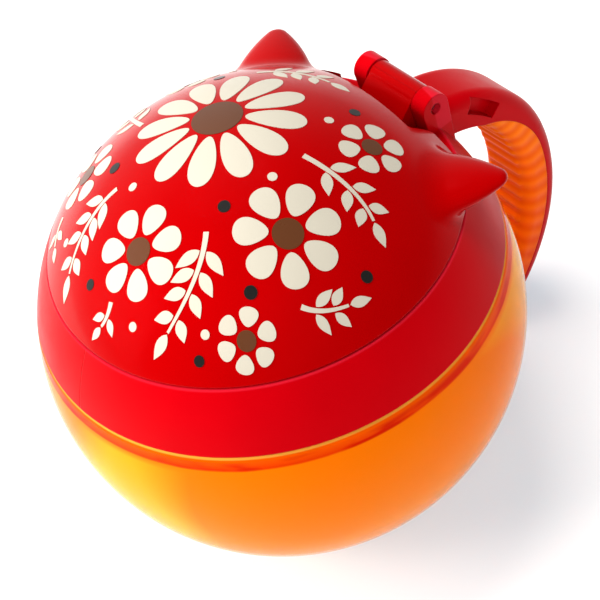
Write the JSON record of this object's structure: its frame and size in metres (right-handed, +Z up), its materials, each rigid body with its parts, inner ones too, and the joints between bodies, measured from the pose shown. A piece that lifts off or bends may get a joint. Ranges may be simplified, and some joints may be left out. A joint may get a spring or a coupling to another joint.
{
  "type": "toddler snack container",
  "caption": "Ball-shaped snack cup with a screw-on collar, a soft flap guard, a hinged dome lid with pointed ears, and an open hook handle.",
  "frame": {"origin": "centre of the flat base, on the table", "axes": "+Z up along the ball's axis, +Y towards the hinge and the handle, +X to the left seen from the front, where the front is the -Y side"},
  "size_m": [0.105, 0.1277, 0.0975],
  "materials": {
    "bowl": "translucent orange, glossy",
    "collar": "satin red",
    "lid": "glossy red",
    "grip": "soft orange, ribbed",
    "silicone": "soft, pale grey",
    "pin": "bright"
  },
  "bodies": {
    "bowl": {"bowl": "bowl"},
    "neck_seal": {"neck_seal": "silicone"},
    "collar": {"collar": "collar", "handle_arm": "collar", "handle_grip": "grip", "guard_ring": "silicone", "guard_retainer": "collar", "hinge_pin": "pin"},
    "flap_1": {"guard_flap_1": "silicone"},
    "flap_2": {"guard_flap_2": "silicone"},
    "flap_3": {"guard_flap_3": "silicone"},
    "flap_4": {"guard_flap_4": "silicone"},
    "flap_5": {"guard_flap_5": "silicone"},
    "flap_6": {"guard_flap_6": "silicone"},
    "lid": {"lid_dome": "lid", "lid_base": "lid", "lid_seal": "silicone"}
  },
  "joints": [
    {"name": "collar_turn", "type": "hinge", "parent": "neck_seal", "child": "collar", "pos_m": [0, 0, 0.0604], "axis": [0, 0, 1], "range_deg": [0, 180]},
    {"name": "collar_rise", "type": "slide", "parent": "bowl", "child": "neck_seal", "axis": [0, 0, 1], "range_m": [0, 0.006]},
    {"name": "lid_hinge", "type": "hinge", "parent": "collar", "child": "lid", "pos_m": [0, 0.0426, 0.0792], "axis": [-1, 0, 0], "range_deg": [0, 130]},
    {"name": "flap_1_bend", "type": "hinge", "parent": "collar", "child": "flap_1", "pos_m": [0, 0.0293, 0.0699], "axis": [1, 0, 0], "range_deg": [0, 70], "stiffness_Nm_per_rad": 0.02},
    {"name": "flap_2_bend", "type": "hinge", "parent": "collar", "child": "flap_2", "pos_m": [-0.02538, 0.01465, 0.0699], "axis": [0.5, 0.866, 0], "range_deg": [0, 70], "stiffness_Nm_per_rad": 0.02},
    {"name": "flap_3_bend", "type": "hinge", "parent": "collar", "child": "flap_3", "pos_m": [-0.02538, -0.01465, 0.0699], "axis": [-0.5, 0.866, 0], "range_deg": [0, 70], "stiffness_Nm_per_rad": 0.02},
    {"name": "flap_4_bend", "type": "hinge", "parent": "collar", "child": "flap_4", "pos_m": [0, -0.0293, 0.0699], "axis": [-1, 0, 0], "range_deg": [0, 70], "stiffness_Nm_per_rad": 0.02},
    {"name": "flap_5_bend", "type": "hinge", "parent": "collar", "child": "flap_5", "pos_m": [0.02538, -0.01465, 0.0699], "axis": [-0.5, -0.866, 0], "range_deg": [0, 70], "stiffness_Nm_per_rad": 0.02},
    {"name": "flap_6_bend", "type": "hinge", "parent": "collar", "child": "flap_6", "pos_m": [0.02538, 0.01465, 0.0699], "axis": [0.5, -0.866, 0], "range_deg": [0, 70], "stiffness_Nm_per_rad": 0.02}
  ],
  "couplings": [
    {"joint": "collar_rise", "follows": "collar_turn", "m_per_rad": 0.0019099}
  ]
}
